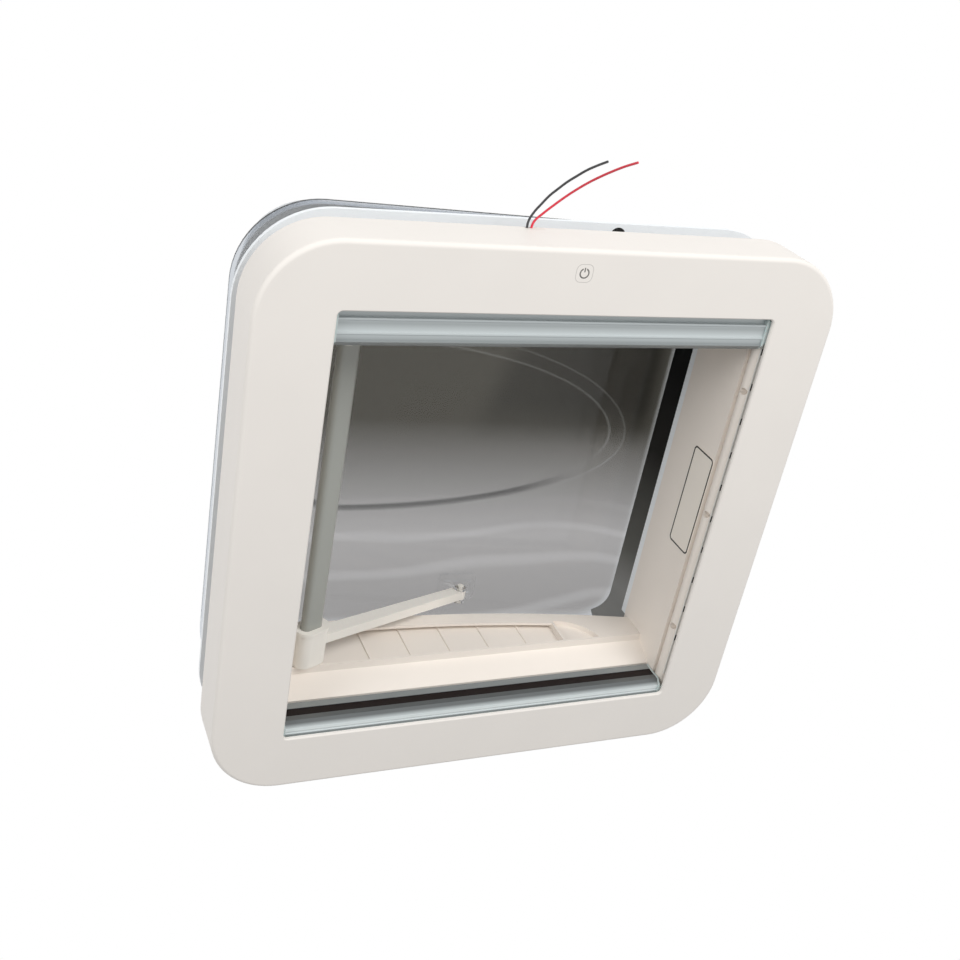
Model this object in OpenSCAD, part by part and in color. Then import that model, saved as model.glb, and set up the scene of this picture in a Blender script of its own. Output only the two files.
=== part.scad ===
// Roof vent for a caravan or motorhome: a moulded interior trim, a roof frame with a flange,
// an openable double acrylic dome on a bail, and two pleated blinds that meet in the opening.
// The trim face lies at z = 0 and looks down; +Z is up through the roof; the dome hinge is on +X.

/* [Trim] */
// Outside width of the interior trim across the dome hinge
face_x = 478; // [474:1:482]
// Outside width of the interior trim along the dome hinge
face_y = 477; // [475:1:482]
// Clear opening across the dome hinge
opening_x = 360; // [356:1:362]
// Clear opening along the dome hinge
opening_y = 375; // [372:1:376]
// Depth of the trim below the ceiling
trim_h = 45; // [44:1:48]
// Outside corner radius of the trim
trim_r = 60; // [58:1:64]
// Wall of the moulded trim
trim_wall = 3; // [2.5:0.5:3]
// Rounding of the trim's front edge
trim_edge_r = 3.5; // [3.5:0.5:6]

/* [Roof] */
// Thickness of the roof held between trim and flange
roof_t = 30; // [28:1:34]
// Width of the square hole cut in the roof
cutout_w = 400; // [398:1:404]

/* [Roof frame] */
// Outside width of the square roof flange
flange_w = 470; // [468:1:474]
// Thickness of the roof flange
flange_t = 4; // [3:0.5:4]
// Corner radius of the roof flange
flange_r = 70; // [64:1:76]
// Distance between the two arched guide walls
guide_gap = 317; // [315:1:319]
// Radius of the arched guide walls
arch_r = 1250; // [1150:10:1400]

/* [Dome] */
// Outside width of the square dome
dome_w = 454; // [450:1:454]
// Height of the dome crown above its rim
dome_rise = 62.5; // [58:0.5:68]
// Thickness of the outer acrylic sheet
dome_sheet = 2.5; // [2:0.5:3]
// Opening angle of the dome at rest
dome_open = 5; // [0:0.5:8]

/* [Bail] */
// Bracket pin to bail bar
arm_len = 174; // [170:1:176]
// Slope of the bail arms at rest
arm_slope = 22.3; // [20:0.1:24]
// Width of the bail bar
bail_w = 20; // [18:0.5:21]

/* [Blinds] */
// Width of a blind's pull bar
bar_w = 30; // [28:1:30]
// Depth of a blind's pull bar
bar_d = 26; // [24:1:26]
// How far the blackout bar shows in the opening
blackout_show = 11.4; // [8:0.1:12]
// How far the flyscreen bar shows in the opening
screen_show = 29; // [27:0.5:30]
// Folds in a retracted blind
pleats = 8; // [6:1:9]

/* [Leads] */
// Outside diameter of a supply lead
lead_d = 1.8; // [1.2:0.1:2]

/* [Hidden] */
$fn = 48;

// Heights above the trim face
z_liner_low = 33;
z_wall_low = 22;
z_liner = trim_h + 10;
z_shelf = z_liner + 2;
z_flange = trim_h + roof_t;
z_deck = z_flange + flange_t;
z_upstand = z_deck + 9;

// Half widths
face_hx = face_x / 2;
face_hy = face_y / 2;
open_hx = opening_x / 2;
open_hy = opening_y / 2;
guide_h = guide_gap / 2;
spigot_h = cutout_w / 2 - 4;
flange_h = flange_w / 2;
dome_h = dome_w / 2;

// Trim details
open_r = 4;
open_chamfer = 1;
notch_x = -24;
notch_w = 16;
notch_d = 6;
gusset_w = 2;
gusset_reach = 20;
gusset_at = [-150, -50, 50, 150];

// Inner walls: the liner's sloped sides and moulded cores
liner_mouth = guide_h + 17.5;
liner_throat = guide_h + 7;
core_wall = 4;
core_spans = [[-176, -122], [-98, -35], [-31, 31], [35, 98], [122, 176]];
clamp_at = 110;
clamp_in = 188;

// Guide walls: pegs of the bail run behind a lip under an arch
arch_x = -110;
arch_top = 116;
guide_t = 19;
pocket_d = 6.5;
lip_t = 2.5;
lip_top = arch_top - 15.5;
pocket_top = arch_top - 6;
pocket_ends = [-170, 98];
rib_count = 5;
rib_first = -89;
rib_pitch = 38.2;
rib_w = 1.6;
rib_d = 1.2;

// Dome hinge and bail, seen along +Y; the rest pose has the dome open by dome_open
hinge_x = 233;
hinge_z = z_deck + 9;
hinge_y = 140;
knuckle_r = 4;
pin_r = 2;
fit = 0.05;
pivot_x = -214;
pivot_z = 42;
arm_y = 149;
arm_t = 9;
pivot_r = 3;
peg_r = 5;

// The bail bar and its corners reach a little past the arms' line; the front arm runs inwards to
// its corner, which is the longer one
bar_off = -6;
corner_off = -5;
corner_w = 30;
arm_skew = 4.8;
corner_starts = [121.5, 140.5];

// The bracket pin at rest and with the dome closed, and the bail bar at rest
pin_rest = [hinge_x + pivot_x, hinge_z + pivot_z];
pin_shut = [hinge_x, hinge_z] + turned([pivot_x, pivot_z], -dome_open);
bail_at = pin_rest - arm_len * [cos(arm_slope), sin(arm_slope)];

// Dome sections, closed
rim_low = z_deck + 4.5;
rim_t = 2;
pane_t = 2;
pane_low = rim_low + 40.5;
dome_top = rim_low + rim_t + dome_rise;
shoulder_r = 22;
dome_r = 67;
crown_in = 60;
field_at = [-110, -6];
field_reach = [54, 275];
field_half = 89;
field_rise = 4.1;
field_taper = [0.9, 0.83];
pane_h = dome_h - 3;
rake_foot = 20.4;
rake_top = 42;
rake_lap = 1.4;
gaiter_t = 1.6;
gaiter_span = [5, 45];
gaiter_from = 165;

// Blinds
bar_low = 5;
bar_bevel = 4.5;
bar_half = 177.6;
cap_end = 179.4;
tongue_end = 186;
tongue_low = 4.4;
tongue_h = 2.2;
blackout_y = open_hy - blackout_show;
screen_y = open_hy - screen_show;
cassette_in = open_hy + 5.5;
cassette_out = face_hy - 9;
cassette_half = 179;
pleat_low = 7;
pleat_high = 29;
pleat_half = 174;
pleat_sheet = 0.5;

// Side rails with their light strips
rail_low = 9;
rail_high = 21.5;
rail_back = 193;
rail_len = 2 * (face_hy - 10);
rail_screw_at = [-119, 0, 119];
rail_nose_r = (rail_high - rail_low) / 2;
rail_z = (rail_high + rail_low) / 2;
rail_screw_z = rail_z - 2.2;

// Touch switch on the trim's lower band, and the plug in the flange
touch_at = [0.8, -220.7];
plug_at = [66, -225];
plug_r = 7;

// Supply leads: from the notch in the trim's side down to the surface below
black_route = [
    [-30.5, -238.5, 42.5], [-29.5, -243, 44], [-26.5, -250, 44], [-22.5, -257, 42.5],
    [-18.5, -264, 40.5], [-14.5, -270.5, 37], [-11, -277, 32.5], [-7.5, -283.5, 26.5],
    [-4.5, -290, 19.5], [-2, -296, 11], [0, -302, 1]
];
red_route = [
    [-27, -238.5, 42.5], [-25, -243, 44], [-19, -249.5, 44], [-12.5, -256.5, 42.5],
    [-6, -263.5, 40.5], [0, -270.5, 37], [6, -277.5, 32.5], [11, -284, 26.5],
    [16, -290.5, 19.5], [20.5, -297, 11], [24, -303, 1]
];
lead_sides = 8;

cream = [0.90, 0.88, 0.85];
ivory = [0.93, 0.92, 0.88];
white = [0.93, 0.96, 0.98];
smoke = [0.55, 0.56, 0.56, 0.45];
clear = [0.85, 0.88, 0.88, 0.5];
silver = [0.72, 0.76, 0.77];
bar_grey = [0.54, 0.57, 0.53];
black = [0.06, 0.06, 0.06];

// Turns an x-z vector about +Y; a positive angle lifts what lies on the -X side
function turned(v, a) = [v[0] * cos(a) + v[1] * sin(a), v[1] * cos(a) - v[0] * sin(a)];

// Points on an arc
function arc(centre, r, a0, a1, steps) =
    [for (i = [0:steps]) let (a = a0 + (a1 - a0) * i / steps) centre + r * [cos(a), sin(a)]];

// Rounded rectangle by half widths
module rounded(hx, hy, r) {
    square([2 * (hx - r), 2 * hy], center = true);
    square([2 * hx, 2 * (hy - r)], center = true);
    for (sx = [-1, 1], sy = [-1, 1]) translate([sx * (hx - r), sy * (hy - r)]) circle(r);
}

// Bar with round ends, w wide and t thick
module stadium(w, t) {
    square([w - t, t], center = true);
    for (s = [-1, 1]) translate([s * (w - t) / 2, 0]) circle(t / 2);
}

// Sweeps a section round a rounded rectangle: section x = 0 is the outside, y is height
module around(hx, hy, r) {
    for (k = [0:3]) {
        far = k % 2 == 0 ? hx : hy;
        wide = k % 2 == 0 ? hy : hx;
        rotate(90 * k) {
            translate([far - r, wide - r, 0]) rotate_extrude(angle = 90) translate([r, 0]) children();
            translate([far, wide - r, 0]) rotate([90, 0, 0]) linear_extrude(2 * (wide - r)) children();
        }
    }
}

// Extrudes an x-z section from y0 to y1
module along_y(y0, y1) translate([0, y1, 0]) rotate([90, 0, 0]) linear_extrude(y1 - y0) children();

// Extrudes a y-z section over the given half length
module along_x(half) rotate([90, 0, 90]) linear_extrude(2 * half, center = true) children();

module rod_x(x0, x1, y, z, r) translate([x0, y, z]) rotate([0, 90, 0]) cylinder(h = x1 - x0, r = r);

module box(low, high) translate(low) cube(high - low);

// Both sides of the part across Y, or across X
module both_y() for (s = [0, 1]) mirror([0, s, 0]) children();
module both_x() for (s = [0, 1]) mirror([s, 0, 0]) children();

// Places what is drawn for a closed dome at the rest pose
module dome_pose()
    translate([hinge_x, 0, hinge_z]) rotate([0, dome_open, 0])
        translate([-hinge_x, 0, -hinge_z]) children();

// Centres of the eight clamp screws
module at_clamps() {
    for (s = [-1, 1], t = [-1, 1]) {
        translate([s * clamp_at, t * clamp_in, 0]) children();
        translate([s * clamp_in, t * clamp_at, 0]) children();
    }
}

// Moulded cores that lighten the four walls from outside
module wall_cores(x_in, y_in, z0, z1) {
    for (span = core_spans) {
        both_x() box([x_in, span[0], z0], [spigot_h + 1, span[1], z1]);
        both_y() box([span[0], y_in, z0], [span[1], spigot_h + 1, z1]);
    }
}

module trim_section() {
    translate([-trim_wall, trim_edge_r]) square([trim_wall, trim_h - trim_edge_r]);
    translate([-trim_r, 0]) square([trim_r - trim_edge_r, trim_wall]);
    translate([-trim_edge_r, trim_edge_r]) intersection() {
        difference() {
            circle(trim_edge_r);
            circle(trim_edge_r - trim_wall);
        }
        translate([0, -trim_edge_r]) square(trim_edge_r);
    }
}

// Notch in the trim's side wall for the leads, or what fills it
module lead_notch(over) box(
    [notch_x - notch_w / 2, -face_hy - over, trim_h - notch_d],
    [notch_x + notch_w / 2, -face_hy + trim_wall + over, trim_h + over]
);

// Interior trim: one swept section with a chamfered opening, gussets and a notch for the leads
module trim_frame() color(cream) {
    wall_in = face_hx - trim_wall;
    mouth = open_chamfer + 1;
    difference() {
        around(face_hx, face_hy, trim_r) trim_section();
        translate([0, 0, -1]) linear_extrude(trim_wall + 2) rounded(open_hx, open_hy, open_r);
        around(open_hx + open_chamfer, open_hy + open_chamfer, open_r + open_chamfer)
            polygon([[0.5, -0.5], [-mouth, -0.5], [-mouth, open_chamfer], [-open_chamfer, open_chamfer]]);
        lead_notch(1);
    }
    both_x() for (y = gusset_at) along_y(y - gusset_w / 2, y + gusset_w / 2)
        polygon([[wall_in, trim_wall], [wall_in, trim_h - 8], [wall_in - gusset_reach, trim_wall]]);
}

// Liner: carries the blinds and rails, and clamps up to the roof frame
module liner_frame() color(cream) difference() {
    union() {
        translate([0, 0, z_liner_low]) linear_extrude(z_liner - z_liner_low) rounded(spigot_h, spigot_h, 8);
        both_x() box([open_hx, -open_hy + 1, z_wall_low], [spigot_h, open_hy - 1, z_liner_low]);
        both_x() box([rail_back, -open_hy + 1, rail_low], [spigot_h, open_hy - 1, z_wall_low]);
    }
    along_x(open_hx) polygon([
        [-liner_mouth, z_liner_low - 1], [liner_mouth, z_liner_low - 1],
        [liner_mouth, z_liner_low], [liner_throat, z_liner], [liner_throat, z_liner + 1],
        [-liner_throat, z_liner + 1], [-liner_throat, z_liner], [-liner_mouth, z_liner_low]
    ]);
    wall_cores(open_hx + core_wall, liner_mouth + core_wall, z_liner_low + 3, z_liner - 3);
    at_clamps() {
        translate([0, 0, z_wall_low - 1]) cylinder(h = 41 - z_wall_low, r = 4.6);
        translate([0, 0, 39]) cylinder(h = z_liner - 38, r = 2.4);
    }
    both_x() for (y = rail_screw_at) rod_x(rail_back - 1, spigot_h + 1, y, rail_screw_z, 1.6);
}

// Everything below an arch of the guide walls whose crown is at the given height
module under_arch(top) translate([arch_x, top - arch_r]) circle(r = arch_r, $fn = 720);

// Outline of the peg pocket below an arch
module pocket(top) intersection() {
    translate([pocket_ends[0], z_shelf]) square([pocket_ends[1] - pocket_ends[0], arch_top - z_shelf]);
    under_arch(top);
}

// Guide wall on +Y: an arched wall with a lipped peg pocket, detent ribs and a run-out recess
module guide_wall() {
    difference() {
        along_y(guide_h, guide_h + guide_t) intersection() {
            union() {
                translate([-open_hx + 10, z_liner]) square([2 * open_hx - 10, arch_top - z_liner]);
                translate([-open_hx, z_liner]) square([2 * open_hx, z_upstand - z_liner]);
            }
            under_arch(arch_top);
        }
        along_y(guide_h - 1, guide_h + lip_t) pocket(lip_top);
        along_y(guide_h + lip_t - 0.1, guide_h + pocket_d) pocket(pocket_top);
        along_y(guide_h - 1, guide_h + 5) intersection() {
            translate([pocket_ends[1] - 2, z_liner - 9]) circle(41);
            translate([pocket_ends[1] + 2.2, z_shelf]) square([50, 50]);
        }
    }
    for (i = [0:rib_count - 1])
        along_y(guide_h + pocket_d - rib_d, guide_h + pocket_d + 0.1) intersection() {
        translate([rib_first + i * rib_pitch, z_shelf - 0.1]) square([rib_w, arch_top]);
        under_arch(pocket_top + 0.1);
    }
}

// Hinge lugs on +X, either side of a dome leaf
module hinge_lugs() for (y = [-hinge_y, hinge_y], s = [-1, 1]) translate([0, y + s * 15, 0]) difference() {
    along_y(-3, 3) {
        translate([hinge_x - knuckle_r, z_deck - 0.1])
            square([flange_h - hinge_x + knuckle_r, hinge_z - z_deck + 0.1]);
        translate([hinge_x, hinge_z]) circle(knuckle_r);
    }
    along_y(-4, 4) translate([hinge_x, hinge_z]) circle(pin_r + fit);
}

// Roof frame: flange, spigot through the roof, upstand with a lip, guide walls and hinge lugs
module roof_frame() color(white) {
    difference() {
        union() {
            translate([0, 0, z_flange]) linear_extrude(flange_t) rounded(flange_h, flange_h, flange_r);
            translate([0, 0, z_liner]) linear_extrude(z_deck - z_liner) rounded(spigot_h, spigot_h, 8);
            translate([0, 0, z_deck - 0.1]) linear_extrude(z_upstand - z_deck + 0.1)
                rounded(spigot_h - 8, spigot_h - 8, 20);
        }
        box([-open_hx, -guide_h - guide_t + 1, z_liner - 1],
            [open_hx, guide_h + guide_t - 1, z_upstand + 1]);
        wall_cores(open_hx + core_wall, guide_h + guide_t + core_wall, z_liner + 3, z_flange - 3);
        at_clamps() translate([0, 0, z_liner - 1]) cylinder(h = z_deck - z_liner - 5, r = 2.3);
        translate([plug_at[0], plug_at[1], z_flange - 1]) cylinder(h = flange_t + 2, r = plug_r + 0.1);
    }
    both_y() guide_wall();
    box([open_hx, -guide_h, z_upstand - 0.1], [open_hx + 2.5, guide_h, z_upstand + 7]);
    hinge_lugs();
}

// Channel behind the trim that holds a folded blind, on +Y
module cassette_channel() {
    depth = cassette_out - cassette_in;
    height = z_liner_low - trim_wall;
    along_x(cassette_half) difference() {
        translate([cassette_in, trim_wall]) square([depth, height]);
        translate([cassette_in - 1, trim_wall + 1]) square([depth, height - 2]);
    }
}

module blackout_cassette() color("gainsboro") cassette_channel();

module screen_cassette() color("gainsboro") difference() {
    mirror([0, 1, 0]) cassette_channel();
    box([touch_at[0] - 20, touch_at[1] - 11, 2], [touch_at[0] + 20, touch_at[1] + 11, 4.5]);
}

// Half-round guide rail on +X with counterbored screw holes
module rail() difference() {
    along_y(-rail_len / 2, rail_len / 2) {
        translate([open_hx + rail_nose_r, rail_z]) circle(rail_nose_r);
        translate([open_hx + rail_nose_r, rail_low])
            square([rail_back - open_hx - rail_nose_r, 2 * rail_nose_r]);
    }
    for (y = rail_screw_at) {
        rod_x(open_hx - 1, open_hx + 6, y, rail_screw_z, 3);
        rod_x(open_hx + 5, rail_back + 1, y, rail_screw_z, 1.7);
    }
}

module side_rail_right() color(cream) rail();
module side_rail_left() color(cream) mirror([1, 0, 0]) rail();

// Light strip under a rail, facing the slot beside the opening
module light_strip() box([open_hx + 2, -170, rail_low - 1.2], [rail_back - 0.5, 170, rail_low]);
module led_strip_right() color("whitesmoke") light_strip();
module led_strip_left() color("whitesmoke") mirror([1, 0, 0]) light_strip();

module touch_board() color("darkgreen")
    box([touch_at[0] - 18, touch_at[1] - 10, trim_wall],
        [touch_at[0] + 18, touch_at[1] + 10, trim_wall + 1]);

module lead_grommet() color("dimgray") lead_notch(0);

// Round tube swept along a route
module lead(route) {
    n = len(route);
    rings = [for (i = [0:n - 1])
        let (
            ahead = route[min(i + 1, n - 1)] - route[max(i - 1, 0)],
            dir = i == 0 ? [0, -1, 0] : ahead / norm(ahead),
            side = cross(dir, [0, 0, 1]) / norm(cross(dir, [0, 0, 1])),
            up = cross(side, dir)
        )
        for (k = [0:lead_sides - 1])
            route[i] + lead_d / 2 * (side * cos(360 * k / lead_sides) + up * sin(360 * k / lead_sides))
    ];
    walls = [for (i = [0:n - 2], k = [0:lead_sides - 1])
        let (a = i * lead_sides + k, b = i * lead_sides + (k + 1) % lead_sides)
        each [[a, b, b + lead_sides], [a, b + lead_sides, a + lead_sides]]
    ];
    start = [for (k = [1:lead_sides - 2]) [0, k + 1, k]];
    last = (n - 1) * lead_sides;
    finish = [for (k = [1:lead_sides - 2]) [last, last + k, last + k + 1]];
    polyhedron(rings, concat(walls, start, finish));
}

module lead_black() color(black) lead(black_route);
module lead_red() color("crimson") lead(red_route);

// Plug in a drain hole of the flange, flush below
module flange_plug() color(black) translate([plug_at[0], plug_at[1], z_flange + 0.1]) {
    cylinder(h = flange_t + 0.5, r = plug_r);
    translate([0, 0, flange_t - 0.1]) cylinder(h = 1.2, r = plug_r + 0.8);
}

// Bare plate on the hinge-side wall
module label_plate() color("ivory") translate([open_hx - 0.2, 0.5, 38]) along_x(0.2) rounded(48.5, 15.5, 4);

module clamp_screws() color(silver) at_clamps() {
    translate([0, 0, 37.5]) cylinder(h = 2.5, r = 4);
    translate([0, 0, 39.9]) cylinder(h = 28, r = 2.2);
}

module rail_screws() color(silver) both_x() for (y = rail_screw_at) {
    rod_x(open_hx + 4.2, open_hx + 6, y, rail_screw_z, 2.8);
    rod_x(open_hx + 5.9, spigot_h - 0.5, y, rail_screw_z, 1.5);
}

// Bulb seal on the flange that the dome rim closes on
module dome_seal() color(black) around(dome_h - 13, dome_h - 13, dome_r - 13) {
    translate([-6, z_deck]) square([6, 1.2]);
    translate([-3, z_deck + 2.1]) circle(2);
}

module hinge_pins() color(silver) for (y = [-hinge_y, hinge_y])
    along_y(y - 19, y + 19) translate([hinge_x, hinge_z]) circle(pin_r);

// Folded blind between y0 and y1, on +Y: a zigzag sheet whose legs stand between two heights
module folded_blind(y0, y1) {
    step = (y1 - y0) / (2 * pleats);
    drop = pleat_sheet * (pleat_high - pleat_low) / step;
    under = [for (i = [0:2 * pleats]) [y0 + i * step, i % 2 == 0 ? pleat_low : pleat_high - drop]];
    over = [for (i = [2 * pleats:-1:0]) under[i] + [0, drop]];
    along_x(pleat_half) polygon(concat(under, over));
}

module blackout_pleats() color("beige") folded_blind(blackout_y + bar_w, cassette_out - 1);
module screen_pleats() color("dimgray") mirror([0, 1, 0]) folded_blind(screen_y + bar_w, cassette_out - 1);

// Section of the outer dome: rim, raked wall, round shoulder and a sloped crown
module dome_section() {
    foot = rim_low + rim_t;
    centre = [-12 - shoulder_r, dome_top - 6 - shoulder_r];
    polygon(concat(
        [[0, foot], [0, foot + dome_sheet], [-5, foot + dome_sheet]],
        arc(centre, shoulder_r, 0, 80, 8),
        [[-crown_in, dome_top], [-crown_in, dome_top - dome_sheet]],
        arc(centre, shoulder_r - dome_sheet, 80, 0, 8),
        [[-5 - dome_sheet, foot + dome_sheet], [-20, foot + dome_sheet], [-20, foot]]
    ));
}

// Egg-shaped outline of the raised field in the crown, blunt towards the opening side
module egg(grow) polygon([for (a = [0:5:355]) [
    field_at[0] + (field_reach[cos(a) > 0 ? 1 : 0] + grow) * cos(a),
    field_at[1] + (field_half + grow) * sin(a)
]]);

// The egg raised on bevelled sides
module field(grow) linear_extrude(field_rise, scale = field_taper, slices = 1) egg(grow);

module dome_outer() color(smoke) dome_pose() {
    flat = dome_h - crown_in + 0.05;
    around(dome_h, dome_h, dome_r) dome_section();
    difference() {
        union() {
            translate([0, 0, dome_top - dome_sheet]) linear_extrude(dome_sheet)
                rounded(flat, flat, dome_r - crown_in + 0.05);
            translate([0, 0, dome_top - 0.1]) field(0);
        }
        translate([0, 0, dome_top - dome_sheet - 0.1]) field(-2);
    }
}

// Inner pane: a tray bonded under the outer dome's rim
module dome_inner() color(clear) dome_pose() {
    edge = crown_in - 2;
    flat = pane_h - edge + 0.05;
    around(pane_h, pane_h, dome_r - 2) polygon([
        [0, rim_low], [0, rim_low + rim_t], [pane_t - rake_foot, rim_low + rim_t],
        [rake_lap - rake_top, pane_low + pane_t], [-edge, pane_low + pane_t], [-edge, pane_low],
        [-rake_top, pane_low], [-rake_foot, rim_low]
    ]);
    translate([0, 0, pane_low]) linear_extrude(pane_t) rounded(flat, flat, dome_r - crown_in + 0.05);
}

// Dark gaiter on the pane's raked side that hides the hinges and runs into the corners
module hinge_gaiter() color(black) {
    foot = [-rake_foot, rim_low];
    rise = [-rake_top, pane_low] - foot;
    dir = rise / norm(rise);
    inward = [-dir[1], dir[0]];
    low = foot + gaiter_span[0] * dir;
    high = foot + gaiter_span[1] * dir;
    dome_pose() intersection() {
        around(pane_h, pane_h, dome_r - 2) polygon([
            low + fit * inward, high + fit * inward, high + gaiter_t * inward, low + gaiter_t * inward
        ]);
        box([gaiter_from, -dome_h, 0], [dome_h, dome_h, dome_top]);
    }
}

// Hinge leaf under the rim with its knuckle on the pin
module hinge_leaf(y) color(silver) dome_pose() difference() {
    along_y(y - 11.7, y + 11.7) {
        translate([hinge_x, hinge_z]) circle(knuckle_r);
        translate([hinge_x - 3.5, rim_low - 2.5]) square([3.5, hinge_z - rim_low + 2.5]);
        translate([hinge_x - 17, rim_low - 2.5]) square([17, 2.5]);
    }
    along_y(y - 12, y + 12) translate([hinge_x, hinge_z]) circle(pin_r + fit);
}

module hinge_leaf_front() hinge_leaf(hinge_y);
module hinge_leaf_rear() hinge_leaf(-hinge_y);

// Clear bracket under the inner pane with two ears for the bail pin
module dome_bracket() color(clear) dome_pose() {
    translate([pin_shut[0], arm_y, pane_low - 2.5]) linear_extrude(2.5) rounded(18, 14, 5);
    for (s = [-1, 1]) difference() {
        along_y(arm_y + s * 6.7 - 1.5, arm_y + s * 6.7 + 1.5) {
            translate(pin_shut) circle(6);
            polygon([
                pin_shut + [-6, 0], pin_shut + [6, 0],
                [pin_shut[0] + 14, pane_low - 2.4], [pin_shut[0] - 14, pane_low - 2.4]
            ]);
        }
        along_y(arm_y - 10, arm_y + 10) translate(pin_shut) circle(pivot_r + fit);
    }
}

module dome_bracket_front() dome_bracket();
module dome_bracket_rear() mirror([0, 1, 0]) dome_bracket();

// Draws an x-z section at the bail bar, turned to the slope of the arms
module at_bail() translate(bail_at) rotate(arm_slope) children();

module bail_bar() color(bar_grey) along_y(-arm_y - 3, arm_y + 3)
    at_bail() translate([bar_off, 0]) difference() {
        stadium(bail_w, 10);
        stadium(bail_w - 3, 7);
    }

// Corner of the bail from the given y: socket for the bar, collar, and the peg in the guide wall
module bail_corner(start) color(ivory) {
    difference() {
        union() {
            along_y(start + 3, guide_h - 0.8) at_bail() translate([corner_off, 0]) stadium(corner_w, 19);
            along_y(start, start + 3.1) at_bail() translate([corner_off, 0]) stadium(corner_w + 2, 21);
        }
        along_y(start - 1, arm_y + 3) at_bail() translate([bar_off, 0]) stadium(bail_w + 0.4, 10.4);
    }
    along_y(guide_h - 0.9, guide_h + pocket_d - rib_d - 0.5) at_bail() circle(peg_r);
}

module bail_corner_front() bail_corner(corner_starts[0]);
module bail_corner_rear() mirror([0, 1, 0]) bail_corner(corner_starts[1]);

// Slab in the plane of an arm, the given half thickness to each side
module arm_slab(half) along_y(arm_y - half, arm_y + half) at_bail() children();

// Turns an arm about its bracket pin, so that its far end moves inwards
module skewed(a) {
    pin = [pin_rest[0], arm_y, pin_rest[1]];
    translate(pin) rotate(a, [-sin(arm_slope), 0, cos(arm_slope)]) translate(-pin) children();
}

// Tapered arm from the corner to the bracket pin
module bail_arm(skew) color(ivory) difference() {
    union() {
        skewed(skew) arm_slab(arm_t / 2) polygon([[0, -7], [0, 7], [arm_len, 5], [arm_len, -5]]);
        arm_slab(arm_t / 2) translate([arm_len, 0]) circle(5.6);
    }
    arm_slab(20) translate([corner_off, 0]) stadium(corner_w, 19);
    arm_slab(arm_t) translate([arm_len, 0]) circle(pivot_r + 0.02);
}

module bail_arm_front() bail_arm(arm_skew);
module bail_arm_rear() mirror([0, 1, 0]) bail_arm(0);

module bail_pins() color(ivory) both_y() along_y(arm_y - 8.6, arm_y + 8.6)
    translate(pin_rest) circle(pivot_r);

// Ridged pull bar section: x is the distance from its meeting face, y the height above its front
module bar_section() difference() {
    polygon([
        [0, bar_bevel], [bar_bevel, 0], [5.5, 0], [6, 0.8], [9.8, 0.8], [10.4, 0], [11.6, 0],
        [12.2, 0.7], [20.5, 0.7], [21, 0], [22.5, 0], [22.5, 3],
        [bar_w, 3], [bar_w, bar_d], [0, bar_d], [0, 19], [2.5, 19], [2.5, 10], [0, 10]
    ]);
    translate([5, 5.5]) square([bar_w - 7, 7]);
    translate([5, 14.5]) square([bar_w - 7, bar_d - 16.5]);
}

// Parts of a blind on +Y whose meeting face is at y
module pull_bar(y) along_x(bar_half) translate([y, bar_low]) bar_section();

module bar_caps(y) both_x() {
    translate([(bar_half + cap_end) / 2, 0, 0]) along_x((cap_end - bar_half) / 2) polygon([
        [y, bar_low + bar_bevel], [y + bar_bevel, tongue_low], [y + bar_w, tongue_low],
        [y + bar_w, bar_low + bar_d], [y, bar_low + bar_d]
    ]);
    box([cap_end - 0.1, y + 6, tongue_low], [tongue_end, y + bar_w - 4, tongue_low + tongue_h]);
}

module bar_magnet(y) along_x(bar_half) translate([y + 0.5, bar_low + 10]) square([2, 9]);

module blackout_bar() color(silver) pull_bar(blackout_y);
module blackout_caps() color("paleturquoise") bar_caps(blackout_y);
module blackout_magnet() color(black) bar_magnet(blackout_y);
module screen_bar() color(silver) mirror([0, 1, 0]) pull_bar(screen_y);
module screen_caps() color("paleturquoise") mirror([0, 1, 0]) bar_caps(screen_y);
module screen_magnet() color(black) mirror([0, 1, 0]) bar_magnet(screen_y);

trim_frame();
liner_frame();
roof_frame();
blackout_cassette();
screen_cassette();
side_rail_left();
side_rail_right();
led_strip_left();
led_strip_right();
touch_board();
lead_grommet();
lead_black();
lead_red();
flange_plug();
label_plate();
clamp_screws();
rail_screws();
dome_seal();
hinge_pins();
blackout_pleats();
screen_pleats();
dome_outer();
dome_inner();
hinge_leaf_front();
hinge_leaf_rear();
dome_bracket_front();
dome_bracket_rear();
hinge_gaiter();
bail_bar();
bail_corner_front();
bail_corner_rear();
bail_arm_front();
bail_arm_rear();
bail_pins();
blackout_bar();
blackout_caps();
blackout_magnet();
screen_bar();
screen_caps();
screen_magnet();
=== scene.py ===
"""Looks of a roof vent seen from inside: mouldings, smoked dome, bail, blinds, light strips and leads."""

import math

import bmesh
import bpy
from mathutils import Matrix, Vector


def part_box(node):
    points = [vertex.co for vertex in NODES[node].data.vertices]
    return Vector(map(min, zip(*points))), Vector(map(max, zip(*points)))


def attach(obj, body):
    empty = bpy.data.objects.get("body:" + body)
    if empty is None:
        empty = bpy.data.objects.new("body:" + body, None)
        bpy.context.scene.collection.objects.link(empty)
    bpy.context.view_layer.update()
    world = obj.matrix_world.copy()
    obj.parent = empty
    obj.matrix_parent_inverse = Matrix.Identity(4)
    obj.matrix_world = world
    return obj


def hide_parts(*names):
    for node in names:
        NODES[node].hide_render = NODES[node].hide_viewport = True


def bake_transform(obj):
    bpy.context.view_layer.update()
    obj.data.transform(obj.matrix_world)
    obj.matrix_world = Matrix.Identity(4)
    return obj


bl_info = {
    "name": "Roof Vent Looks",
    "version": (1, 0, 0),
    "blender": (4, 5, 0),
    "location": "View3D > Sidebar > Roof Vent",
    "description": "Dresses a caravan roof vent with its finishes, cloth, leads and small parts",
    "category": "Object",
}

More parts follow.
